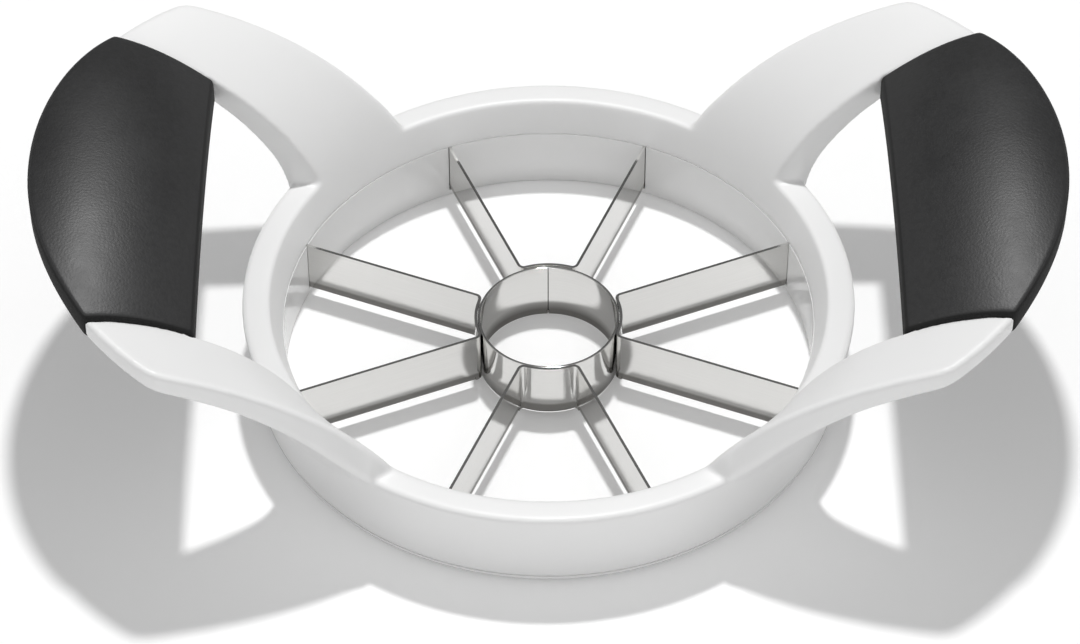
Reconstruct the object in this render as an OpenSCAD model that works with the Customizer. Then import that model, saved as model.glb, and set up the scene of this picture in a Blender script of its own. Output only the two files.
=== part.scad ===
// Push-down apple slicer: a ring with two loop handles, eight spoke blades
// and a corer tube in the middle.
// Z points up, and the origin is on the ring's axis at table level.
// X runs from handle to handle. All sizes are in millimetres.

/* [Ring] */
// Clear diameter inside the ring, where the apple goes through
opening_d = 95; // [85:0.5:110]
// Wall of the ring at its top, from the opening to the outer edge
ring_wall = 7.1; // [6.5:0.1:10]
// Height of the flat band on top of the ring
ring_h = 18.6; // [16:0.1:24]
// How far the outer wall draws in between the band and the table
wall_taper = 2.2; // [0.5:0.1:2.4]
// Radius of the rounded edge on the outside of the band
band_edge_r = 0.7; // [0.3:0.1:1.2]

/* [Blade carrier] */
// Thickness of the carrier's wall
carrier_t = 2.1; // [1.8:0.1:2.6]
// Height of the parting line between the carrier and the flared frame
parting_h = 12.2; // [10:0.1:14]
// Height of the foot flange
flange_h = 2; // [1.6:0.1:3]
// How far the foot's rounded edge draws in under the wall
foot_round = 2.6; // [2:0.1:3]
// Clearance between pieces that fit into each other
fit_gap = 0.1; // [0.05:0.01:0.15]

/* [Cutter] */
// Outer diameter of the corer tube
corer_d = 25.4; // [20:0.2:32]
// Wall of the corer tube
corer_wall = 0.5; // [0.4:0.05:0.8]
// Thickness of the blade strip
blade_t = 0.5; // [0.4:0.05:0.7]
// Height of the blades' cutting edge above the table
blade_lift = 1.5; // [0.5:0.1:3]
// Height of the ground bevel on the cutting edge
bevel_h = 0.9; // [0.4:0.1:1.5]
// Width of the cutting edge itself
edge_w = 0.1; // [0.05:0.01:0.2]
// Radius of the bend where a blade leaves the tube, on the strip's middle line
bend_r = 1; // [0.8:0.1:1.6]
// How deep a blade's end sits in the carrier's wall
blade_seat = 1.5; // [0.8:0.1:1.5]

/* [Handles] */
// Distance from the ring's axis to the outer end of a grip
handle_reach = 89.5; // [84:0.5:100]
// Width of a handle across its shoulders
handle_w = 93.4; // [86:0.2:100]
// Radius of the handle's outer end, seen from above
end_r = 57.9; // [54:0.1:66]
// Radius of the long curve along a handle's side, seen from above
side_r = 225; // [180:5:400]
// Radius that blends the side into the outer end
shoulder_r = 6; // [3:0.5:10]
// Width of the finger window where it meets the grip
window_w = 63.2; // [56:0.2:68]
// Angle by which the window narrows towards the ring, on each side
window_angle = 11.5; // [6:0.5:16]
// Thickness of a handle arm at the ring
arm_root_t = 6; // [5:0.1:6.4]
// Thickness of a handle arm at its outer end
arm_tip_t = 4; // [3.6:0.1:4.4]
// Radius, seen from above, where the window's side runs into the band
window_fillet_r = 1.5; // [1:0.1:3]

/* [Flare] */
// Height of the handle's white surface at its outer end
flare_h = 49.2; // [46:0.2:54]
// Steepness of the flare where it leaves the parting line, in degrees
flare_foot_angle = 72.4; // [68:0.2:78]
// Steepness of the flare at its outer end, in degrees
flare_tip_angle = 11.7; // [8:0.1:16]
// Pull of the flare's curve at the parting line
flare_foot_pull = 13.5; // [12:0.1:15]
// Pull of the flare's curve at its outer end
flare_tip_pull = 30; // [27:0.5:33]

/* [Grips] */
// Width of a grip, from the window to its outer end
grip_w = 29.5; // [26:0.1:32]
// Height of the grip's top at the window
grip_inner_h = 44.4; // [43:0.1:46]
// Height of the grip's top at its outer end
grip_outer_h = 51.7; // [50:0.1:53]
// Depth below the table of the line, parallel to X, that the grips' crown turns about
crown_drop = 98; // [90:1:120]
// Thickness of a grip
grip_t = 5; // [4.6:0.1:5.4]
// Thickness of the tongue inside a grip
tongue_t = 2; // [1.6:0.1:2.2]
// Grip material left round the tongue's edge
grip_rim = 3; // [2.5:0.1:4]

/* [Hidden] */
$fn = 96;

white = [0.94, 0.94, 0.93];
grey = [0.25, 0.26, 0.27];
steel = [0.78, 0.79, 0.8];

opening_r = opening_d / 2;
ring_r = opening_r + ring_wall;
carrier_r = opening_r + carrier_t;
foot_r = ring_r - wall_taper * (1 - flange_h / ring_h);
band_drop = 0.4;

corer_r = corer_d / 2;
corer_foot = 0.2;
corer_top_drop = 0.2;
seam_w = 0.12;
weld_d = 1.2;

// The strip's middle line runs along the tube, round a bend and out to the carrier.
hug_r = corer_r + fit_gap + blade_t / 2;
half_pitch = 22.5;
bend_angle = asin(bend_r / (hug_r + bend_r));
leg_start = sqrt(pow(hug_r + bend_r, 2) - pow(bend_r, 2));
leg_end = opening_r + blade_seat - fit_gap;
hug_steps = 6;
bend_steps = 6;

end_x = handle_reach - end_r;
side_x = 70;
side_y = handle_w / 2 - side_r;
grip_x = handle_reach - grip_w;

curve_steps = 14;
brim_cross = 0.88;
above = 80;

// Point at t on the cubic curve with control points p.
function bezier(p, t) =
  pow(1 - t, 3) * p[0] + 3 * pow(1 - t, 2) * t * p[1]
  + 3 * (1 - t) * pow(t, 2) * p[2] + pow(t, 3) * p[3];

// Unit vector along that curve at t.
function heading(p, t) =
  let (d = pow(1 - t, 2) * (p[1] - p[0]) + 2 * (1 - t) * t * (p[2] - p[1]) + pow(t, 2) * (p[3] - p[2]))
  d / norm(d);

// The t at which a rising curve reaches height h, by halving.
function t_at(p, h, a = 0, b = 1, n = 24) =
  let (m = (a + b) / 2)
  n == 0 ? m : bezier(p, m)[1] < h ? t_at(p, h, m, b, n - 1) : t_at(p, h, a, m, n - 1);

function polar(r, a) = [r * cos(a), r * sin(a)];

// Where a circle round a and a circle round b meet, on the +Y side.
function circles_meet(a, ra, b, rb) =
  let (d = norm(b - a), u = (b - a) / d)
  let (k = (pow(ra, 2) - pow(rb, 2) + pow(d, 2)) / (2 * d))
  a + k * u + sqrt(pow(ra, 2) - pow(k, 2)) * [-u[1], u[0]] * (u[0] > 0 ? 1 : -1);

// Points of a fillet's arc round c, from the direction of one point to that of another.
function fillet_arc(c, r, from, to, steps = 6) =
  let (a = atan2(from[1] - c[1], from[0] - c[0]), b = atan2(to[1] - c[1], to[0] - c[0]))
  let (turn = b - a > 180 ? b - a - 360 : b - a < -180 ? b - a + 360 : b - a)
  [for (i = [0 : steps]) c + polar(r, a + turn * i / steps)];

// Flare: the outline, in radius and height, of the funnel and of the handles' top.
flare = [
  [opening_r, parting_h + fit_gap],
  [opening_r, parting_h + fit_gap] + flare_foot_pull * [cos(flare_foot_angle), sin(flare_foot_angle)],
  [handle_reach + 0.5, flare_h] - flare_tip_pull * [cos(flare_tip_angle), sin(flare_tip_angle)],
  [handle_reach + 0.5, flare_h]];
flare_band_t = t_at(flare, ring_h - band_drop);
brim_r = bezier(flare, flare_band_t)[0];

// Crown: the outline, along X, of the grip's top at the middle of the handle.
crown = [
  [grip_x, grip_inner_h],
  [grip_x + grip_w * 0.21, grip_inner_h + grip_w * 0.163],
  [grip_x + grip_w * 0.575, grip_outer_h + grip_w * 0.15],
  [handle_reach, grip_outer_h]];

// Ring wall between the funnel and the outside, revolved round the axis.
module ring_body() {
  edge = ring_r - band_edge_r;
  funnel = [for (i = [0 : 6]) bezier(flare, flare_band_t * i / 6)];
  brow = [for (a = [60 : -30 : 0]) [brim_r + 0.6, ring_h - band_drop] + [-0.6 * sin(a), band_drop * cos(a)]];
  rim = [for (a = [90 : -15 : 0]) [edge, ring_h - band_edge_r] + polar(band_edge_r, a)];
  rotate_extrude()
    polygon(concat(
      [[carrier_r + fit_gap, flange_h + fit_gap], [carrier_r + fit_gap, parting_h + fit_gap]],
      funnel,
      brow,
      rim,
      [[foot_r, flange_h + fit_gap]]));
}

// Bell-shaped shell whose top carries on the funnel's curve out to the handles.
module flare_shell() {
  steps = [for (i = [0 : curve_steps]) flare_band_t + (1 - flare_band_t) * i / curve_steps];
  top = [for (t = steps) bezier(flare, t)];
  under = [for (i = [curve_steps : -1 : 0])
    let (t = steps[i], h = heading(flare, t))
    bezier(flare, t) + (arm_root_t + (arm_tip_t - arm_root_t) * t) * [h[1], -h[0]]];
  rotate_extrude()
    polygon(concat(top, under));
}

// Outline of one handle seen from above, with round shoulders.
module handle_outline() {
  difference() {
    intersection() {
      translate([end_x, 0])
        circle(r = end_r, $fn = 180);
      translate([side_x, side_y])
        circle(r = side_r, $fn = 720);
      translate([side_x, -side_y])
        circle(r = side_r, $fn = 720);
      translate([0, -above])
        square([2 * above, 2 * above]);
    }
    shoulder_cut();
    mirror([0, 1])
      shoulder_cut();
  }
}

// What the shoulder's radius takes off the corner between the side and the outer end.
// Its arc crosses both of them close to where it would touch them.
module shoulder_cut() {
  side = [side_x, side_y];
  end = [end_x, 0];
  r = shoulder_r;
  c = circles_meet(side, side_r - 0.99 * r, end, end_r - 0.99 * r);
  to_side = (c - side) / norm(c - side);
  to_end = (c - end) / norm(c - end);
  polygon(concat(
    [c + 3 * r * to_side, c + 3 * r * (to_side + to_end), c + 3 * r * to_end],
    fillet_arc(c, r, c + to_end, c + to_side)));
}

// Outline of a grip seen from above: straight at the window, round at the outer end.
// It is gap wider, drawn in by rim at the window and outer end, and reaches on into the arms.
module grip_outline(gap = 0, rim = 0, reach = 0) {
  slant = tan(window_angle);
  half = window_w / 2 + gap + reach;
  intersection() {
    translate([end_x, 0])
      circle(r = end_r - rim, $fn = 180);
    polygon([
      [grip_x - gap + rim, -half - slant * rim],
      [handle_reach + 5, -half - slant * (grip_w + 5)],
      [handle_reach + 5, half + slant * (grip_w + 5)],
      [grip_x - gap + rim, half + slant * rim]]);
  }
}

// Finger window seen from above, carried inwards over the ring.
module window_outline() {
  slant = tan(window_angle);
  inward = grip_x - 20;
  difference() {
    polygon([
      [20, -window_w / 2 + slant * inward],
      [grip_x + 1, -window_w / 2 - slant],
      [grip_x + 1, window_w / 2 + slant],
      [20, window_w / 2 - slant * inward]]);
    window_fillet();
    mirror([0, 1])
      window_fillet();
  }
}

// Crowned plate: the crown's outline turned about a line parallel to X below the table.
// It lies from skin below the crown to skin + t below it.
module crowned_plate(skin, t) {
  swing = 24;
  n = curve_steps;
  line = [for (i = [0 : n]) bezier(crown, -0.09 + 1.2 * i / n)];
  translate([0, 0, -crown_drop])
    rotate([0, 90, 0])
      rotate([0, 0, 180 - swing])
        rotate_extrude(angle = 2 * swing, $fn = 180)
          polygon(concat(
            [for (p = line) [p[1] + crown_drop - skin, p[0]]],
            [for (i = [n : -1 : 0]) [line[i][1] + crown_drop - skin - t, line[i][0]]]));
}

// Tongue that bridges a handle inside its grip, widened by gap all round.
module tongue(gap = 0, reach = 1.5) {
  skin = (grip_t - tongue_t) / 2;
  intersection() {
    crowned_plate(skin - gap, tongue_t + 2 * gap);
    linear_extrude(above)
      grip_outline(rim = grip_rim - gap, reach = reach);
  }
}

// Rounding, seen from above, between the window's side and the brim of the funnel.
// Its arc starts a little inside the side and crosses the brim instead of touching it.
module window_fillet() {
  along = polar(1, window_angle);
  out = [-along[1], along[0]];
  r = window_fillet_r;
  off = [grip_x, window_w / 2] * out;
  c_off = off - 0.99 * r;
  c = c_off * out + sqrt(pow(brim_r + brim_cross * r, 2) - pow(c_off, 2)) * along;
  corner = off * out + sqrt(pow(brim_r, 2) - pow(off, 2)) * along;
  polygon(concat([corner * 0.97 + out], fillet_arc(c, r, c + out, [0, 0])));
}

module arms() {
  intersection() {
    flare_shell();
    linear_extrude(above)
      difference() {
        handle_outline();
        grip_outline(gap = fit_gap);
        window_outline();
      }
  }
}

// One handle: both arms, and the tongue between them.
module handle() {
  arms();
  tongue();
}

module frame() {
  color(white)
    union() {
      ring_body();
      handle();
      mirror([1, 0, 0])
        handle();
    }
}

module blade_carrier() {
  foot = [for (a = [0 : 15 : 90]) [foot_r - foot_round * (1 - cos(a)), flange_h * (1 - sin(a))]];
  lead = 0.3;
  color(white)
    difference() {
      rotate_extrude()
        polygon(concat(
          [[opening_r, parting_h], [carrier_r, parting_h], [carrier_r, flange_h]],
          foot,
          [[opening_r + lead, 0], [opening_r, lead]]));
      for (i = [0 : 7])
        rotate(half_pitch + 45 * i)
          translate([opening_r - 2, -blade_t / 2 - fit_gap, blade_lift - fit_gap])
            cube([blade_seat + 2, blade_t + 2 * fit_gap, above]);
    }
}

module corer_tube() {
  top = parting_h - corer_top_drop;
  grind = corer_wall - edge_w;
  color(steel)
    union() {
      difference() {
        rotate_extrude()
          polygon([
            [corer_r - corer_wall, corer_foot],
            [corer_r - grind, corer_foot],
            [corer_r, corer_foot + bevel_h],
            [corer_r, top],
            [corer_r - corer_wall, top]]);
        translate([-seam_w / 2, 0, -1])
          cube([seam_w, corer_r + 1, above]);
      }
      intersection() {
        rotate_extrude()
          polygon([
            [corer_r - corer_wall - 0.15, corer_foot],
            [corer_r - corer_wall / 2, corer_foot],
            [corer_r - corer_wall / 2, top],
            [corer_r - corer_wall - 0.15, top]]);
        translate([0, 0, corer_foot + bevel_h + weld_d])
          rotate([-90, 0, 0])
            cylinder(d = weld_d, h = corer_r, $fn = 32);
      }
    }
}

// One side of a strip's outline seen from above: along the tube, round the bend, out along
// the blade. side is 1 for the edge nearer the tube and -1 for the other.
function strip_edge(side) =
  let (half = side * blade_t / 2)
  let (bend_at = polar(hug_r + bend_r, half_pitch - bend_angle))
  let (out = polar(1, half_pitch))
  concat(
    [for (i = [0.5 : 1 : hug_steps]) polar(hug_r - half, (half_pitch - bend_angle) * i / hug_steps)],
    [for (i = [0 : bend_steps])
      bend_at + polar(bend_r + half, half_pitch - bend_angle + 180 - (90 - bend_angle) * i / bend_steps)],
    [leg_end * out + half * [-out[1], out[0]]]);

function flipped(points) = [for (i = [len(points) - 1 : -1 : 0]) [points[i][0], -points[i][1]]];

// What grinding takes off one side of a blade's lower edge.
module grind() {
  over = 0.3;
  slope = (blade_t - edge_w) / 2 / bevel_h;
  translate([leg_start + over, 0])
    rotate([90, 0, 90])
      linear_extrude(leg_end)
        polygon([
          [edge_w / 2 - over * slope, blade_lift - over],
          [blade_t, blade_lift - over],
          [blade_t, blade_lift + bevel_h + blade_t / 2 / slope]]);
}

// Strip bent into a U round a quarter of the tube, with its two ground blades.
module blade_strip(turned) {
  tube_side = strip_edge(1);
  apple_side = strip_edge(-1);
  outline = concat(
    flipped(tube_side),
    tube_side,
    [for (i = [len(apple_side) - 1 : -1 : 0]) apple_side[i]],
    [for (p = apple_side) [p[0], -p[1]]]);
  color(steel)
    rotate(turned)
      difference() {
        translate([0, 0, blade_lift])
          linear_extrude(parting_h - blade_lift)
            polygon(outline);
        for (a = [-half_pitch, half_pitch])
          rotate(a) {
            grind();
            mirror([0, 1, 0])
              grind();
          }
      }
}

module blade_strip_right() {
  blade_strip(0);
}

module blade_strip_back() {
  blade_strip(90);
}

module blade_strip_left() {
  blade_strip(180);
}

module blade_strip_front() {
  blade_strip(270);
}

module right_grip() {
  color(grey)
    difference() {
      intersection() {
        crowned_plate(0, grip_t);
        linear_extrude(above)
          grip_outline();
      }
      tongue(gap = fit_gap, reach = 5);
    }
}

module left_grip() {
  mirror([1, 0, 0])
    right_grip();
}

frame();
blade_carrier();
corer_tube();
blade_strip_right();
blade_strip_left();
blade_strip_front();
blade_strip_back();
right_grip();
left_grip();
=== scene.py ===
import math
import bmesh
import bpy
from mathutils import Matrix, Vector


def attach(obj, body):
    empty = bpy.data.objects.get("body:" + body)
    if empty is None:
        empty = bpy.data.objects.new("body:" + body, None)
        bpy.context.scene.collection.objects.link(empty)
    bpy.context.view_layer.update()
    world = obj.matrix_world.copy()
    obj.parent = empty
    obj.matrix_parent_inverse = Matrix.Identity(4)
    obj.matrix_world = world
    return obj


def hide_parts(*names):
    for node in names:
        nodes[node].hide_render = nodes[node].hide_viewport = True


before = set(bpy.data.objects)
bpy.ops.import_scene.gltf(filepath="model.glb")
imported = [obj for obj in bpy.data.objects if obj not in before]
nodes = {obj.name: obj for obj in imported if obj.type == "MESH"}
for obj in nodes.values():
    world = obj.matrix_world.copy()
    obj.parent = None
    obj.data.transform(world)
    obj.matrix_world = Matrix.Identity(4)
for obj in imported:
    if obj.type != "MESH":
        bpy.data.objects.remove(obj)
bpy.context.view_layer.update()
print("frame loaded")


def makeMaterial(name):
    mat = bpy.data.materials.new(name)
    mat.use_nodes = True
    return mat, mat.node_tree, mat.node_tree.nodes["Principled BSDF"]


def addNode(tree, kind, **inputs):
    node = tree.nodes.new(kind)
    for label, value in inputs.items():
        node.inputs[label.replace("_", " ")].default_value = value
    return node


def addMath(tree, operation, *values):
    # None leaves a socket to its link
    node = tree.nodes.new("ShaderNodeMath")
    node.operation = operation
    for socket, value in zip(node.inputs, values):
        if value is not None:
            socket.default_value = value
    return node


def makeGroup(name, inputs, outputs):
    group = bpy.data.node_groups.new(name, "ShaderNodeTree")
    for label, kind, value in inputs:
        socket = group.interface.new_socket(name=label, in_out="INPUT", socket_type=kind)
        if value is not None:
            socket.default_value = value
    for label, kind in outputs:
        group.interface.new_socket(name=label, in_out="OUTPUT", socket_type=kind)
    return group, group.nodes.new("NodeGroupInput"), group.nodes.new("NodeGroupOutput")


def useGroup(tree, group, vector, **inputs):
    node = tree.nodes.new("ShaderNodeGroup")
    node.node_tree = group
    for label, value in inputs.items():
        node.inputs[label].default_value = value
    tree.links.new(vector, node.inputs["Vector"])
    return node


def objectVector(tree):
    return tree.nodes.new("ShaderNodeTexCoord").outputs["Object"]


# a Mix node's sockets: factor, first, second and result
mixSockets = {"FLOAT": (0, 2, 3, 0), "RGBA": (0, 6, 7, 2)}


def blend(tree, kind, factor, first, second):
    # first and second are plain values or the outputs of other nodes
    mix = tree.nodes.new("ShaderNodeMix")
    mix.data_type = kind
    factorAt, firstAt, secondAt, resultAt = mixSockets[kind]
    for place, value in ((firstAt, first), (secondAt, second)):
        if isinstance(value, bpy.types.NodeSocket):
            tree.links.new(value, mix.inputs[place])
        else:
            mix.inputs[place].default_value = value + (1,) if kind == "RGBA" else value
    tree.links.new(factor, mix.inputs[factorAt])
    return mix.outputs[resultAt]


# effects shared by the materials
def makeUneven():
    group, source, result = makeGroup(
        "uneven",
        [("Vector", "NodeSocketVector", None), ("Scale", "NodeSocketFloat", 100.0),
         ("Low", "NodeSocketFloat", 0.0), ("High", "NodeSocketFloat", 1.0)],
        [("Value", "NodeSocketFloat")])
    noise = addNode(group, "ShaderNodeTexNoise", Detail=4.0, Roughness=0.6)
    spread = addNode(group, "ShaderNodeMapRange", From_Min=0.3, From_Max=0.7)
    group.links.new(source.outputs["Vector"], noise.inputs["Vector"])
    group.links.new(source.outputs["Scale"], noise.inputs["Scale"])
    group.links.new(noise.outputs["Fac"], spread.inputs["Value"])
    group.links.new(source.outputs["Low"], spread.inputs["To Min"])
    group.links.new(source.outputs["High"], spread.inputs["To Max"])
    group.links.new(spread.outputs["Result"], result.inputs["Value"])
    return group


def makeGrain():
    group, source, result = makeGroup(
        "grain",
        [("Vector", "NodeSocketVector", None), ("Scale", "NodeSocketFloat", 2000.0),
         ("Depth", "NodeSocketFloat", 0.00001)],
        [("Normal", "NodeSocketVector")])
    noise = addNode(group, "ShaderNodeTexNoise", Detail=2.0, Roughness=0.5)
    bump = addNode(group, "ShaderNodeBump", Strength=1.0)
    group.links.new(source.outputs["Vector"], noise.inputs["Vector"])
    group.links.new(source.outputs["Scale"], noise.inputs["Scale"])
    group.links.new(noise.outputs["Fac"], bump.inputs["Height"])
    group.links.new(source.outputs["Depth"], bump.inputs["Distance"])
    group.links.new(bump.outputs["Normal"], result.inputs["Normal"])
    return group


def makeBrushing():
    # long level streaks: slow along X and Y, quick along Z
    group, source, result = makeGroup(
        "brushing",
        [("Vector", "NodeSocketVector", None), ("Along", "NodeSocketFloat", 60.0),
         ("Up", "NodeSocketFloat", 6000.0), ("Depth", "NodeSocketFloat", 0.000002)],
        [("Streak", "NodeSocketFloat"), ("Normal", "NodeSocketVector")])
    sizes = group.nodes.new("ShaderNodeCombineXYZ")
    stretch = group.nodes.new("ShaderNodeVectorMath")
    stretch.operation = "MULTIPLY"
    noise = addNode(group, "ShaderNodeTexNoise", Scale=1.0, Detail=3.0, Roughness=0.6)
    bump = addNode(group, "ShaderNodeBump", Strength=1.0)
    for axis, label in (("X", "Along"), ("Y", "Along"), ("Z", "Up")):
        group.links.new(source.outputs[label], sizes.inputs[axis])
    group.links.new(source.outputs["Vector"], stretch.inputs[0])
    group.links.new(sizes.outputs["Vector"], stretch.inputs[1])
    group.links.new(stretch.outputs["Vector"], noise.inputs["Vector"])
    group.links.new(noise.outputs["Fac"], bump.inputs["Height"])
    group.links.new(source.outputs["Depth"], bump.inputs["Distance"])
    group.links.new(noise.outputs["Fac"], result.inputs["Streak"])
    group.links.new(bump.outputs["Normal"], result.inputs["Normal"])
    return group


def makeLowerShade():
    # painted shade: 1 in the lower part of the steel up to Height, fading to 0 over Fade higher up; it
    # stands in for the floor's shadow reflected there
    group, source, result = makeGroup(
        "groundEdge",
        [("Vector", "NodeSocketVector", None), ("Height", "NodeSocketFloat", 0.002),
         ("Fade", "NodeSocketFloat", 0.0003)],
        [("PaintedShade", "NodeSocketFloat")])
    axes = group.nodes.new("ShaderNodeSeparateXYZ")
    below = addMath(group, "SUBTRACT")
    share = addMath(group, "DIVIDE")
    share.use_clamp = True
    group.links.new(source.outputs["Vector"], axes.inputs[0])
    group.links.new(source.outputs["Height"], below.inputs[0])
    group.links.new(axes.outputs["Z"], below.inputs[1])
    group.links.new(below.outputs[0], share.inputs[0])
    group.links.new(source.outputs["Fade"], share.inputs[1])
    group.links.new(share.outputs[0], result.inputs["PaintedShade"])
    return group


uneven = makeUneven()
grain = makeGrain()
brushing = makeBrushing()
groundEdge = makeLowerShade()


def patchyTone(tree, vector, look):
    tone = useGroup(tree, uneven, vector, Scale=look["toneScale"])
    return blend(tree, "RGBA", tone.outputs["Value"], *look["tones"])


def patchyRough(tree, vector, look):
    low, high = look["rough"]
    rough = useGroup(tree, uneven, vector, Scale=look["roughScale"], Low=low, High=high)
    return rough.outputs["Value"]


def addSkin(tree, shader, vector, look):
    # fine grain, and how strongly the surface shines
    skin = useGroup(tree, grain, vector, Scale=look["grainScale"], Depth=look["grainDepth"])
    tree.links.new(skin.outputs["Normal"], shader.inputs["Normal"])
    shader.inputs["Specular IOR Level"].default_value = look["shine"]


# studio: a near lamp, and a soft fill that is strongest from the front
studio = {
    "keyPlace": (0.026, 0.291, 0.9),
    "keyRadius": 0.031,
    "keyStrength": 2.0,
    "fillStrength": 0.4,
    "fillLean": 1.0,
}


def addLamp():
    key = bpy.data.lights.new("key", "POINT")
    key.energy = 4 * math.pi * studio["keyStrength"]
    key.shadow_soft_size = studio["keyRadius"]
    key.use_nodes = True
    tree = key.node_tree
    level = addNode(tree, "ShaderNodeLightFalloff", Strength=1.0)
    # Constant makes it as bright at every distance
    tree.links.new(level.outputs["Constant"], tree.nodes["Emission"].inputs["Strength"])
    keyObject = bpy.data.objects.new("key", key)
    keyObject.location = studio["keyPlace"]
    bpy.context.scene.collection.objects.link(keyObject)


def makeWorld():
    # the camera sees plain white, and the fill lights everything else
    world = bpy.data.worlds.new("studio")
    bpy.context.scene.world = world
    world.use_nodes = True
    tree = world.node_tree
    tree.nodes.clear()
    level = studio["fillStrength"]
    fill = addNode(tree, "ShaderNodeBackground", Color=(1, 1, 1, 1))
    plain = addNode(tree, "ShaderNodeBackground", Color=(1, 1, 1, 1), Strength=1.0)
    direction = tree.nodes.new("ShaderNodeTexCoord")
    axes = tree.nodes.new("ShaderNodeSeparateXYZ")
    lean = addMath(tree, "MULTIPLY_ADD", None, -level * studio["fillLean"], level)
    path = tree.nodes.new("ShaderNodeLightPath")
    choice = tree.nodes.new("ShaderNodeMixShader")
    out = tree.nodes.new("ShaderNodeOutputWorld")
    tree.links.new(direction.outputs["Generated"], axes.inputs[0])
    tree.links.new(axes.outputs["Y"], lean.inputs[0])
    tree.links.new(lean.outputs[0], fill.inputs["Strength"])
    tree.links.new(path.outputs["Is Camera Ray"], choice.inputs[0])
    tree.links.new(fill.outputs[0], choice.inputs[1])
    tree.links.new(plain.outputs[0], choice.inputs[2])
    tree.links.new(choice.outputs[0], out.inputs[0])


addLamp()
makeWorld()
bpy.context.scene.view_settings.view_transform = "Standard"
print("studio lit")

# camera, with angles in degrees, and focal length and picture width in pixels
shot = {
    "target": (-0.00151, 0.01022, 0.0),
    "distance": 0.71579,
    "elevation": 45.984,
    "swing": -0.0955,
    "roll": 0.196,
    "focal": 3901.7,
    "pictureWidth": 1080,
    "sensorWidth": 36.0,
    "nearest": 0.01,
    "farthest": 20.0,
}


def placeCamera():
    e = math.radians(shot["elevation"])
    p = math.radians(shot["swing"])
    r = math.radians(shot["roll"])
    back = Vector((math.sin(p) * math.cos(e), -math.cos(p) * math.cos(e), math.sin(e)))
    ahead = -back
    right = ahead.cross(Vector((0, 0, 1))).normalized()
    down = ahead.cross(right)
    x = right * math.cos(r) + down * math.sin(r)
    y = right * math.sin(r) - down * math.cos(r)
    camera = bpy.data.cameras.new("camera")
    camera.sensor_width = shot["sensorWidth"]
    camera.lens = shot["focal"] / shot["pictureWidth"] * shot["sensorWidth"]
    camera.clip_start = shot["nearest"]
    camera.clip_end = shot["farthest"]
    holder = bpy.data.objects.new("camera", camera)
    turn = Matrix((x, y, back)).transposed().to_4x4()
    place = Vector(shot["target"]) + back * shot["distance"]
    holder.matrix_world = Matrix.Translation(place) @ turn
    bpy.context.scene.collection.objects.link(holder)
    bpy.context.scene.camera = holder


placeCamera()
print("camera placed")

# floor: matt paper that glows a little for the camera, a hair below the foot
floorPaper = {
    "size": 8.0,
    "gap": 0.00003,
    "tone": 0.9,
    "rough": (0.84, 0.96),
    "roughScale": 900.0,
    "shine": 0.0,
    "glow": 0.12,
}


def makePaper():
    mat, tree, shader = makeMaterial("floorPaper")
    shader.inputs["Base Color"].default_value = (floorPaper["tone"],) * 3 + (1,)
    shader.inputs["Specular IOR Level"].default_value = floorPaper["shine"]
    shader.inputs["Emission Color"].default_value = (1, 1, 1, 1)
    rough = patchyRough(tree, objectVector(tree), floorPaper)
    tree.links.new(rough, shader.inputs["Roughness"])
    path = tree.nodes.new("ShaderNodeLightPath")
    glow = addMath(tree, "MULTIPLY", None, floorPaper["glow"])
    tree.links.new(path.outputs["Is Camera Ray"], glow.inputs[0])
    tree.links.new(glow.outputs[0], shader.inputs["Emission Strength"])
    return mat


bpy.ops.mesh.primitive_plane_add(size=floorPaper["size"], location=(0, 0, -floorPaper["gap"]))
floor = bpy.context.object
floor.name = "floor"
floor.data.materials.append(makePaper())
print("floor laid")

# shaping, in millimetres; a finished piece is brought to metres at the end
millimetre = 0.001
mergeDistance = 0.0001


def bezier(points, t):
    a, b, c, d = points
    u = 1 - t
    return [u ** 3 * a[i] + 3 * u * u * t * b[i] + 3 * u * t * t * c[i] + t ** 3 * d[i] for i in (0, 1)]


def heading(points, t):
    a, b, c, d = points
    u = 1 - t
    x, y = [u * u * (b[i] - a[i]) + 2 * u * t * (c[i] - b[i]) + t * t * (d[i] - c[i]) for i in (0, 1)]
    length = math.hypot(x, y)
    return x / length, y / length


def solve(rising, goal, halvings=30):
    low, high = 0.0, 1.0
    for step in range(halvings):
        middle = (low + high) / 2
        if rising(middle) < goal:
            low = middle
        else:
            high = middle
    return low


def arc(center, radius, start, end, steps):
    angles = [math.radians(start + (end - start) * i / steps) for i in range(steps + 1)]
    return [(center[0] + radius * math.cos(a), center[1] + radius * math.sin(a)) for a in angles]


def blockGrid(across, along):
    # a grid from -0.5 to 0.5 at height 0 and its copy at height 1, joined round the edge
    bm = bmesh.new()
    bmesh.ops.create_grid(bm, x_segments=across, y_segments=along, size=0.5)
    lifted = bmesh.ops.extrude_face_region(bm, geom=bm.faces[:], use_keep_orig=True)
    newVerts = [v for v in lifted["geom"] if isinstance(v, bmesh.types.BMVert)]
    bmesh.ops.translate(bm, vec=(0, 0, 1), verts=newVerts)
    return bm


def longRims(bm, side):
    # the lower and the upper rim along a block grid's side at -0.5 or 0.5, side being -1 or 1
    almostOut = 0.499
    rim = [v for v in bm.verts if v.co.y * side > almostOut]
    return [v for v in rim if v.co.z < 0.5], [v for v in rim if v.co.z > 0.5]


def revolve(points, steps, turn=360.0, start=0.0):
    bm = bmesh.new()
    a = math.radians(start)
    ring = [bm.verts.new((r * math.cos(a), r * math.sin(a), z)) for r, z in points]
    if turn < 360:
        bm.faces.new(ring)
    else:
        for i, v in enumerate(ring):
            bm.edges.new((v, ring[(i + 1) % len(ring)]))
    bmesh.ops.spin(bm, geom=bm.verts[:] + bm.edges[:] + bm.faces[:], cent=(0, 0, 0), axis=(0, 0, 1),
                   angle=math.radians(turn), steps=steps, use_merge=turn >= 360)
    return bm


def mirrored(bm, x, y):
    bmesh.ops.scale(bm, vec=(x, y, 1), verts=bm.verts[:])
    return bm


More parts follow.
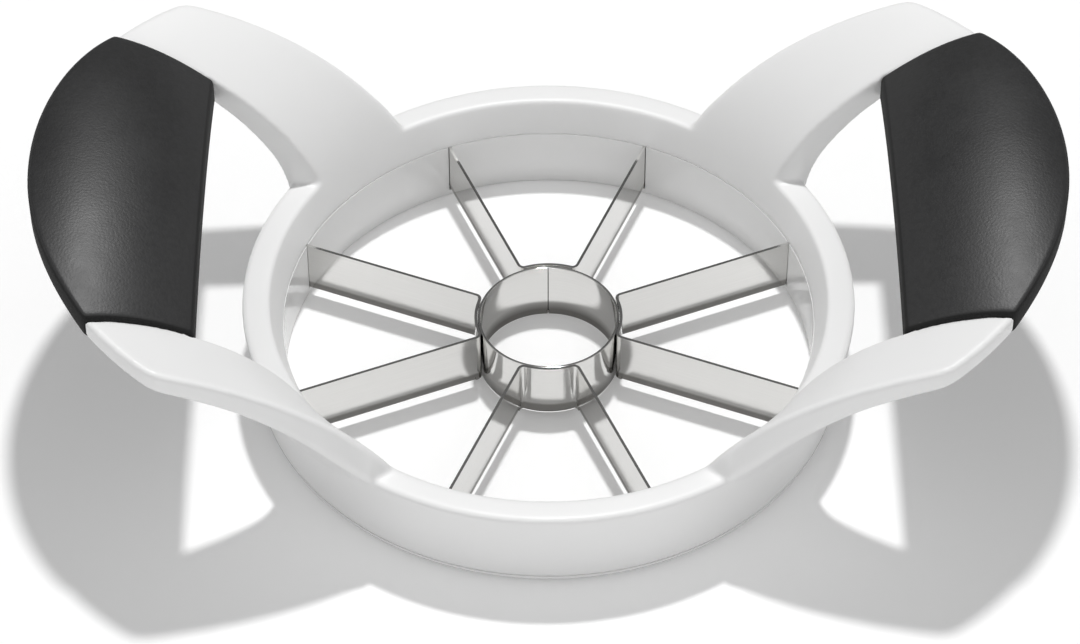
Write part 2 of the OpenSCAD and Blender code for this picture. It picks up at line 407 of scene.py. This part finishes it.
def roundEdges(bm, edges, width, segments):
    bmesh.ops.bevel(bm, geom=edges, offset=width, offset_type="OFFSET", segments=segments, profile=0.5,
                    affect="EDGES", material=-1, clamp_overlap=False)


def sharpEdges(bm, degrees):
    return [e for e in bm.edges if e.is_manifold and e.calc_face_angle(0) > math.radians(degrees)]


def edgesWithin(bm, verts):
    chosen = set(verts)
    return [e for e in bm.edges if e.verts[0] in chosen and e.verts[1] in chosen]


def finishMesh(bm, name, scale=1.0):
    bmesh.ops.remove_doubles(bm, verts=bm.verts[:], dist=mergeDistance)
    bmesh.ops.recalc_face_normals(bm, faces=bm.faces[:])
    bmesh.ops.scale(bm, vec=(scale, scale, scale), verts=bm.verts[:])
    for face in bm.faces:
        face.smooth = True
    mesh = bpy.data.meshes.new(name)
    bm.to_mesh(mesh)
    bm.free()
    piece = bpy.data.objects.new(name, mesh)
    bpy.context.scene.collection.objects.link(piece)
    return piece


def joinPieces(parts, name, scale=1.0):
    bm = bmesh.new()
    for part in parts:
        bm.from_mesh(part.data)
        bpy.data.objects.remove(part)
    return finishMesh(bm, name, scale)


def applyModifiers(piece):
    graph = bpy.context.evaluated_depsgraph_get()
    mesh = bpy.data.meshes.new_from_object(piece.evaluated_get(graph))
    piece.modifiers.clear()
    old = piece.data
    piece.data = mesh
    bpy.data.meshes.remove(old)


# flare: the funnel's and the handles' common curve, radius against height
flare = {
    "opening": 47.5,
    "parting": 12.3,
    "tip": (90.0, 49.2),
    "footAngle": 72.4,
    "tipAngle": 11.7,
    "footPull": 13.5,
    "tipPull": 30.0,
    "rootThickness": 6.0,
    "tipThickness": 4.0,
    "brimHeight": 18.2,
}


def flarePoints():
    foot, tip = math.radians(flare["footAngle"]), math.radians(flare["tipAngle"])
    x0, z0 = flare["opening"], flare["parting"]
    x1, z1 = flare["tip"]
    return [(x0, z0),
            (x0 + flare["footPull"] * math.cos(foot), z0 + flare["footPull"] * math.sin(foot)),
            (x1 - flare["tipPull"] * math.cos(tip), z1 - flare["tipPull"] * math.sin(tip)),
            (x1, z1)]


flareLine = flarePoints()


def underPoint(t):
    thickness = flare["rootThickness"] + (flare["tipThickness"] - flare["rootThickness"]) * t
    x, z = bezier(flareLine, t)
    h = heading(flareLine, t)
    return x + thickness * h[1], z - thickness * h[0]


def flareTop(radius):
    return bezier(flareLine, solve(lambda t: bezier(flareLine, t)[0], radius))[1]


def flareUnder(radius):
    return underPoint(solve(lambda t: underPoint(t)[0], radius))[1]


brimAt = solve(lambda t: bezier(flareLine, t)[1], flare["brimHeight"])
brimRadius = bezier(flareLine, brimAt)[0]

# ring wall, with a small round brow between the funnel's brim and the flat top
ringWall = {
    "outer": 54.6,
    "height": 18.6,
    "edge": 0.8,
    "edgeSteps": 6,
    "foot": (52.65, 1.9),
    "seat": 49.7,
    "seatHeight": 12.0,
    "funnelSteps": 12,
    "browWidth": 0.6,
    "browDegrees": (70, 50, 30, 12, 0),
    "steps": 256,
}


def ringProfile():
    brow, rim, steps = ringWall["browWidth"], ringWall["edge"], ringWall["funnelSteps"]
    drop = ringWall["height"] - flare["brimHeight"]
    points = [(ringWall["seat"], ringWall["foot"][1]), (ringWall["seat"], ringWall["seatHeight"]),
              (flare["opening"], ringWall["seatHeight"])]
    points += [bezier(flareLine, brimAt * i / steps) for i in range(steps + 1)]
    for degrees in ringWall["browDegrees"]:
        a = math.radians(degrees)
        points.append((brimRadius + brow - brow * math.sin(a), flare["brimHeight"] + drop * math.cos(a)))
    points += arc((ringWall["outer"] - rim, ringWall["height"] - rim), rim, 90, 0, ringWall["edgeSteps"])
    points.append(ringWall["foot"])
    return points


# handle arms, seen from above: window side, long side arc, round shoulder, round outer end
handle = {
    "endCenter": 31.6,
    "endRadius": 57.9,
    "endSteps": 20,
    "tipBelow": 60.0,
    "sideCrest": (70.0, 46.7),
    "sideRadius": 225.0,
    "sideSteps": 60,
    "shoulder": 6.0,
    "shoulderSteps": 12,
    "gripX": 60.0,
    "windowHalf": 31.7,
    "windowAngle": 11.5,
    "leanStart": (25.9, 42.3),
    "leanRise": 0.85,
    "leanLimit": 46.0,
    "rootHeight": 14.0,
    "rootDrop": 3.0,
    "rootRise": 2.6,
    "rootReach": 4.4,
    "windowFillet": 1.5,
    "filletReach": 2.4,
    "filletFade": 3.0,
    "windowEdge": 0.55,
    "outerEdge": 1.1,
    "edgeSteps": 4,
    "lengthSteps": 34,
    "widthSteps": 12,
}


def circlesMeet(a, ra, b, rb):
    dx, dy = b[0] - a[0], b[1] - a[1]
    d = math.hypot(dx, dy)
    along = (ra * ra - rb * rb + d * d) / (2 * d)
    off = math.sqrt(ra * ra - along * along)
    return a[0] + (along * dx + off * dy) / d, a[1] + (along * dy - off * dx) / d


def degreesOf(point, center):
    return math.degrees(math.atan2(point[1] - center[1], point[0] - center[0]))


slant = math.tan(math.radians(handle["windowAngle"]))


def handleTipAngle():
    # where the window's straight side, carried on past the grip, meets the outer end;
    # it lies between 0 and tipBelow degrees
    center, radius, widest = handle["endCenter"], handle["endRadius"], handle["tipBelow"]

    def gap(t):
        a = math.radians(widest * (1 - t))
        x, y = center + radius * math.cos(a), radius * math.sin(a)
        return handle["windowHalf"] + (x - handle["gripX"]) * slant - y

    return widest * (1 - solve(gap, 0.0))


tipAngle = handleTipAngle()


def handleOutside():
    sideR, endR, r = handle["sideRadius"], handle["endRadius"], handle["shoulder"]
    crestX, crestY = handle["sideCrest"]
    side, end = (crestX, crestY - sideR), (handle["endCenter"], 0.0)
    shoulder = circlesMeet(side, sideR - r, end, endR - r)
    brim = circlesMeet(side, sideR, (0.0, 0.0), brimRadius)
    toSide, toEnd = degreesOf(shoulder, side), degreesOf(shoulder, end)
    points = arc(side, sideR, degreesOf(brim, side), toSide, handle["sideSteps"])
    points += arc(shoulder, r, toSide, toEnd, handle["shoulderSteps"])[1:]
    points += arc(end, endR, toEnd, tipAngle, handle["endSteps"])[1:]
    return points


outside = handleOutside()
outsideRun = [0.0]
for a, b in zip(outside, outside[1:]):
    outsideRun.append(outsideRun[-1] + math.dist(a, b))


def outsideAt(share):
    goal = share * outsideRun[-1]
    i = 0
    while i < len(outside) - 2 and outsideRun[i + 1] < goal:
        i += 1
    k = (goal - outsideRun[i]) / (outsideRun[i + 1] - outsideRun[i])
    return Vector(outside[i]).lerp(Vector(outside[i + 1]), k)


def windowCorner():
    # where the window's side crosses the brim
    a = math.radians(handle["windowAngle"])
    along, across = Vector((math.cos(a), math.sin(a))), Vector((math.sin(a), -math.cos(a)))
    off = Vector((handle["gripX"], handle["windowHalf"])).dot(across)
    return off * across + math.sqrt(brimRadius ** 2 - off ** 2) * along


windowRoot = windowCorner()
windowTip = Vector((handle["gripX"], handle["windowHalf"]))
outsideRoot, outsideTip = Vector(outside[0]), Vector(outside[-1])


def armPlan(share, across):
    # share runs from the brim to the grip, across from the window to the outside
    turnA, turnB = math.atan2(windowRoot.y, windowRoot.x), math.atan2(outsideRoot.y, outsideRoot.x)
    turn = turnA + (turnB - turnA) * across
    brim = brimRadius * Vector((math.cos(turn), math.sin(turn)))
    tip = windowTip.lerp(outsideTip, across)
    inner, outer = windowRoot.lerp(windowTip, share), outsideAt(share)
    corners = windowRoot.lerp(outsideRoot, across).lerp(tip, share)
    return inner.lerp(outer, across) + brim.lerp(tip, share) - corners


def leanOut(point):
    # the lower outer edge stands further out near the ring
    if point.x > handle["gripX"]:
        return point
    x0, y0 = handle["leanStart"]
    leaned = min(handle["leanLimit"], y0 + (point.x - x0) * handle["leanRise"])
    return Vector((point.x, max(point.y, leaned)))


def windowFillet(p, across):
    # the window's lower edge rounds into the ring
    past = max(0.0, p.length - ringWall["outer"]) / handle["filletReach"]
    if past > 1:
        return Vector((0.0, 0.0))
    a = math.radians(handle["windowAngle"])
    width = handle["windowFillet"] * (1 - past) ** 2 * max(0.0, 1 - handle["filletFade"] * across)
    return Vector((math.sin(a), -math.cos(a))) * width


def armLow(radius, across):
    # near the ring the underside drops on the window side and rises on the outer side
    past = (radius - ringWall["outer"]) / handle["rootReach"]
    near = min(1.0, max(0.0, 1 - past)) ** 2
    rise = handle["rootRise"] * near * max(0.0, 2 * across - 1)
    if past < 0:
        return handle["rootHeight"] + rise
    return flareUnder(radius) - handle["rootDrop"] * near * max(0.0, 1 - 2 * across) + rise


def makeArm():
    bm = blockGrid(handle["lengthSteps"], handle["widthSteps"])
    rims = {"windowEdge": longRims(bm, -1), "outerEdge": longRims(bm, 1)}
    for v in bm.verts:
        share, across = v.co.x + 0.5, v.co.y + 0.5
        p = armPlan(share, across)
        if v.co.z > 0.5:
            v.co = (p.x, p.y, flareTop(max(p.length, brimRadius)))
            continue
        edge = outsideAt(share)
        p += (leanOut(edge) - edge) * max(0.0, 2 * across - 1)
        p += windowFillet(p, across)
        v.co = (p.x, p.y, armLow(p.length, across))
    bmesh.ops.recalc_face_normals(bm, faces=bm.faces[:])
    for label, (low, high) in rims.items():
        edges = edgesWithin(bm, low) + edgesWithin(bm, high)
        roundEdges(bm, edges, handle[label], handle["edgeSteps"])
    return bm


# grip crown and the tongue inside it
grip = {
    "reach": 89.5,
    "innerHeight": 44.39,
    "outerHeight": 51.74,
    "innerPull": (0.21, 0.163),
    "outerPull": (0.575, 0.15),
    "crownDepth": 98.0,
    "thickness": 5.0,
    "half": 31.6,
    "tipStep": 0.1,
    "edge": 0.75,
    "edgeSteps": 4,
    "edgeDegrees": 40,
    "sharpDegrees": 35,
    "lengthSteps": 52,
    "widthSteps": 22,
    "tongueRim": 3.0,
    "tongueReach": 0.045,
    "tongueThickness": 2.0,
    "pocketReach": 0.2,
    "gap": 0.1,
}


def crownHeight(x):
    # the pulls are shares of the grip's width
    x0, x1 = handle["gripX"], grip["reach"]
    z0, z1 = grip["innerHeight"], grip["outerHeight"]
    width, inner, outer = x1 - x0, grip["innerPull"], grip["outerPull"]
    line = [(x0, z0),
            (x0 + width * inner[0], z0 + width * inner[1]),
            (x0 + width * outer[0], z1 + width * outer[1]),
            (x1, z1)]
    return bezier(line, solve(lambda t: bezier(line, t)[0], x))[1]


def crownAt(x, y, skin):
    radius = crownHeight(min(max(x, handle["gripX"]), grip["reach"])) + grip["crownDepth"] - skin
    return math.sqrt(radius * radius - y * y) - grip["crownDepth"]


def gripPlan(across, along, rim):
    # across runs from the window to the outer end, along from end to end of the grip
    x0 = handle["gripX"] + rim
    a = math.radians((tipAngle - grip["tipStep"]) * along)
    r = handle["endRadius"] - rim
    inner = Vector((x0, (grip["half"] + slant * rim) * along))
    outer = Vector((handle["endCenter"] + r * math.cos(a), r * math.sin(a)))
    return inner.lerp(outer, across)


def makePlate(rim, skin, thickness, reach):
    # rim and skin say how far inside the grip it stays, reach how far it runs on past the ends
    bm = blockGrid(grip["widthSteps"], grip["lengthSteps"])
    for v in bm.verts:
        across, along = v.co.x + 0.5, 2 * v.co.y * (1 + reach)
        p = gripPlan(across, along, rim)
        depth = skin if v.co.z > 0.5 else skin + thickness
        v.co = (p.x, p.y, crownAt(p.x, p.y, depth))
    bmesh.ops.recalc_face_normals(bm, faces=bm.faces[:])
    return bm


def makeTongue(gap, reach):
    skin = (grip["thickness"] - grip["tongueThickness"]) / 2
    return makePlate(grip["tongueRim"] - gap, skin - gap, grip["tongueThickness"] + 2 * gap, reach)


# frame: ring, four arms and two tongues become one moulding
moulding = {
    "voxel": 0.36,
    "smoothing": 0.5,
    "softenSteps": 4,
    "triangles": 190000,
    "settleSteps": 5,
}


def frameParts():
    parts = [finishMesh(revolve(ringProfile(), ringWall["steps"]), "ring")]
    for x in (1, -1):
        for y in (1, -1):
            parts.append(finishMesh(mirrored(makeArm(), x, y), "arm"))
        parts.append(finishMesh(mirrored(makeTongue(0.0, grip["tongueReach"]), x, 1), "tongue"))
    return parts


def addSmoothing(piece, name, steps):
    smoothing = piece.modifiers.new(name, "SMOOTH")
    smoothing.factor = moulding["smoothing"]
    smoothing.iterations = steps


def weldTogether(piece):
    remesh = piece.modifiers.new("weld", "REMESH")
    remesh.mode = "VOXEL"
    remesh.voxel_size = moulding["voxel"]
    addSmoothing(piece, "soften", moulding["softenSteps"])
    applyModifiers(piece)


def thinOut(piece, count):
    thin = piece.modifiers.new("thin", "DECIMATE")
    thin.ratio = min(1.0, moulding["triangles"] / count)
    addSmoothing(piece, "settle", moulding["settleSteps"])
    applyModifiers(piece)


frameShell = joinPieces(frameParts(), "flared_frame")
print("frame parts made")
weldTogether(frameShell)
welded = sum(len(p.vertices) - 2 for p in frameShell.data.polygons)
thinOut(frameShell, welded)
frameShell = joinPieces([frameShell], "flared_frame", millimetre)
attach(frameShell, "root")
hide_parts("frame")
print("frame moulded, thinned from", welded, "triangles")

# grips, each with a pocket for its tongue
grips = []
for x, name in ((1, "right_grip"), (-1, "left_grip")):
    bm = makePlate(0.0, 0.0, grip["thickness"], 0.0)
    roundEdges(bm, sharpEdges(bm, grip["edgeDegrees"]), grip["edge"], grip["edgeSteps"])
    pad = finishMesh(mirrored(bm, x, 1), name + "_pad")
    pocket = finishMesh(mirrored(makeTongue(grip["gap"], grip["pocketReach"]), x, 1), "pocket")
    cut = pad.modifiers.new("pocket", "BOOLEAN")
    cut.operation = "DIFFERENCE"
    cut.object = pocket
    cut.solver = "MANIFOLD"
    applyModifiers(pad)
    bpy.data.objects.remove(pocket)
    pad = joinPieces([pad], name + "_pad", millimetre)
    pad.data.set_sharp_from_angle(angle=math.radians(grip["sharpDegrees"]))
    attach(pad, "root")
    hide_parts(name)
    grips.append(pad)
print("grips made")

# corer tube: rolled sheet with a butt joint at the back and a weld dot at its foot
tube = {
    "outer": 12.7,
    "wall": 0.5,
    "foot": 0.2,
    "top": 12.0,
    "bevelHeight": 0.9,
    "edgeWidth": 0.1,
    "rim": 0.14,
    "rimSteps": 4,
    "jointAt": 90.0,
    "jointDegrees": 0.8,
    "jointSkin": 0.12,
    "weldHeight": 0.9,
    "weldRadius": 0.28,
    "weldSteps": (16, 10),
    "sharpDegrees": 50,
    "steps": 256,
}


def tubeProfile():
    outer, inner, rim = tube["outer"], tube["outer"] - tube["wall"], tube["rim"]
    points = [(inner, tube["foot"]), (inner + tube["edgeWidth"], tube["foot"]),
              (outer, tube["foot"] + tube["bevelHeight"])]
    points += arc((outer - rim, tube["top"] - rim), rim, 0, 90, tube["rimSteps"])
    points += arc((inner + rim, tube["top"] - rim), rim, 90, 180, tube["rimSteps"])
    return points


def jointShadeProfile():
    outer, inner, skin = tube["outer"], tube["outer"] - tube["wall"], tube["jointSkin"]
    low, high = tube["foot"] + tube["bevelHeight"], tube["top"] - skin
    return [(inner + skin, low), (outer - skin, low), (outer - skin, high), (inner + skin, high)]


def rolledSheet():
    gap = tube["jointDegrees"]
    bm = revolve(tubeProfile(), tube["steps"], 360 - gap, tube["jointAt"] + gap / 2)
    around, up = tube["weldSteps"]
    weld = bmesh.ops.create_uvsphere(bm, u_segments=around, v_segments=up, radius=tube["weldRadius"])
    place = (0, tube["outer"] - tube["wall"], tube["weldHeight"])
    bmesh.ops.translate(bm, vec=place, verts=weld["verts"])
    return bm


def jointShadeSheet():
    # painted shade: a near-black sheet in the gap stands in for the gap's shadow; it is in the tube's
    # second material
    gap = tube["jointDegrees"]
    bm = revolve(jointShadeProfile(), 1, gap, tube["jointAt"] - gap / 2)
    for face in bm.faces:
        face.material_index = 1
    return bm


tubeParts = [finishMesh(rolledSheet(), "rolled"), finishMesh(jointShadeSheet(), "joint")]
corer = joinPieces(tubeParts, "seamed_corer_tube", millimetre)
corer.data.set_sharp_from_angle(angle=math.radians(tube["sharpDegrees"]))
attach(corer, "root")
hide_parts("corer_tube")
print("corer tube made")


# white plastic: satin on the frame, glossier on the carrier
def makePlastic(name, look):
    mat, tree, shader = makeMaterial(name)
    vector = objectVector(tree)
    tree.links.new(patchyTone(tree, vector, look), shader.inputs["Base Color"])
    tree.links.new(patchyRough(tree, vector, look), shader.inputs["Roughness"])
    addSkin(tree, shader, vector, look)
    return mat


whitePlastic = makePlastic("whitePlastic", {
    "tones": ((0.868, 0.868, 0.866), (0.884, 0.884, 0.882)),
    "toneScale": 25.0,
    "rough": (0.36, 0.46),
    "roughScale": 130.0,
    "shine": 0.36,
    "grainScale": 2400.0,
    "grainDepth": 0.000004,
})
carrierPlastic = makePlastic("carrierPlastic", {
    "tones": ((0.872, 0.872, 0.87), (0.888, 0.888, 0.886)),
    "toneScale": 25.0,
    "rough": (0.1, 0.17),
    "roughScale": 130.0,
    "shine": 0.5,
    "grainScale": 900.0,
    "grainDepth": 0.000001,
})


# grey soft grip: a satin crown, and walls round it that are matt, with painted shade that makes them
# darker
def steepness(tree, tilt):
    # 0 where the normal's Z is above tilt's first value, 1 where it is below the second
    surface = tree.nodes.new("ShaderNodeNewGeometry")
    axes = tree.nodes.new("ShaderNodeSeparateXYZ")
    span = addNode(tree, "ShaderNodeMapRange", From_Min=tilt[0], From_Max=tilt[1])
    tree.links.new(surface.outputs["Normal"], axes.inputs[0])
    tree.links.new(axes.outputs["Z"], span.inputs["Value"])
    return span.outputs["Result"]


def makeRubber(name, look):
    mat, tree, shader = makeMaterial(name)
    vector = objectVector(tree)
    wall = steepness(tree, look["mattAndShadeTilt"])
    # painted shade: the steep walls get a darker tone, along with their matt roughness
    tone = blend(tree, "RGBA", wall, patchyTone(tree, vector, look), look["wallShadeTone"])
    rough = blend(tree, "FLOAT", wall, patchyRough(tree, vector, look), look["mattRough"])
    tree.links.new(tone, shader.inputs["Base Color"])
    tree.links.new(rough, shader.inputs["Roughness"])
    addSkin(tree, shader, vector, look)
    return mat


greyGrip = makeRubber("greyGrip", {
    "tones": ((0.008, 0.008, 0.0085), (0.017, 0.017, 0.0175)),
    "toneScale": 1100.0,
    "rough": (0.45, 0.54),
    "roughScale": 90.0,
    "shine": 0.75,
    "grainScale": 2200.0,
    "grainDepth": 0.00004,
    # painted shade: the dark tone of the steep walls
    "wallShadeTone": (0.003, 0.003, 0.003),
    "mattRough": 1.0,
    "mattAndShadeTilt": (0.86, 0.6),
})


# steel, for the blades, the tube and the tube's joint; each is darkened towards the bottom with painted
# shade, and the joint's near-black steel is painted shade too
def makeSteel(name, look):
    mat, tree, shader = makeMaterial(name)
    vector = objectVector(tree)
    lines = useGroup(tree, brushing, vector, Along=look["along"], Up=look["up"], Depth=look["depth"])
    # painted shade: the lower part of the steel is mixed towards a dark tone, standing in for the
    # floor's shadow reflected in it
    edge = useGroup(tree, groundEdge, vector, Height=look["groundHeight"], Fade=look["groundFade"])
    sheet = blend(tree, "RGBA", lines.outputs["Streak"], *look["tones"])
    whole = blend(tree, "RGBA", edge.outputs["PaintedShade"], sheet, look["ground"])
    tree.links.new(whole, shader.inputs["Base Color"])
    tree.links.new(patchyRough(tree, vector, look), shader.inputs["Roughness"])
    tree.links.new(lines.outputs["Normal"], shader.inputs["Normal"])
    shader.inputs["Metallic"].default_value = look["metallic"]
    return mat


bladeSteel = makeSteel("bladeSteel", {
    "tones": ((0.72, 0.715, 0.70), (0.82, 0.815, 0.80)),
    # painted shade: the dark tone of the blades' lower part, where the floor's shadow is reflected
    "ground": (0.4, 0.39, 0.375),
    "groundHeight": 0.0034,
    "groundFade": 0.0005,
    "along": 70.0,
    "up": 5200.0,
    "depth": 0.0000006,
    "rough": (0.08, 0.14),
    "roughScale": 160.0,
    "metallic": 1.0,
})
tubeSteel = makeSteel("tubeSteel", {
    "tones": ((0.73, 0.725, 0.71), (0.81, 0.805, 0.79)),
    # painted shade: the dark tone of the tube's lower part, where the floor's shadow is reflected
    "ground": (0.3, 0.292, 0.28),
    "groundHeight": 0.0036,
    "groundFade": 0.0022,
    "along": 45.0,
    "up": 4200.0,
    "depth": 0.0000004,
    "rough": (0.06, 0.11),
    "roughScale": 140.0,
    "metallic": 1.0,
})
# painted shade: near-black steel for the sheet in the tube's joint gap
jointGapShade = makeSteel("jointGapShade", {
    "tones": ((0.01, 0.01, 0.01), (0.03, 0.029, 0.028)),
    # painted shade towards the bottom, as on the other steels
    "ground": (0.03, 0.03, 0.03),
    "groundHeight": 0.0012,
    "groundFade": 0.0003,
    "along": 300.0,
    "up": 1500.0,
    "depth": 0.00001,
    "rough": (0.5, 0.7),
    "roughScale": 900.0,
    "metallic": 0.4,
})

frameShell.data.materials.append(whitePlastic)
for pad in grips:
    pad.data.materials.append(greyGrip)
for mat in (tubeSteel, jointGapShade):
    corer.data.materials.append(mat)

# the CAD nodes; those that are not named here are the blade strips
finishes = {
    "frame": whitePlastic,
    "blade_carrier": carrierPlastic,
    "right_grip": greyGrip,
    "left_grip": greyGrip,
    "corer_tube": tubeSteel,
}
for name, node in nodes.items():
    for slot in node.material_slots:
        slot.material = finishes.get(name, bladeSteel)
print("finishes given")
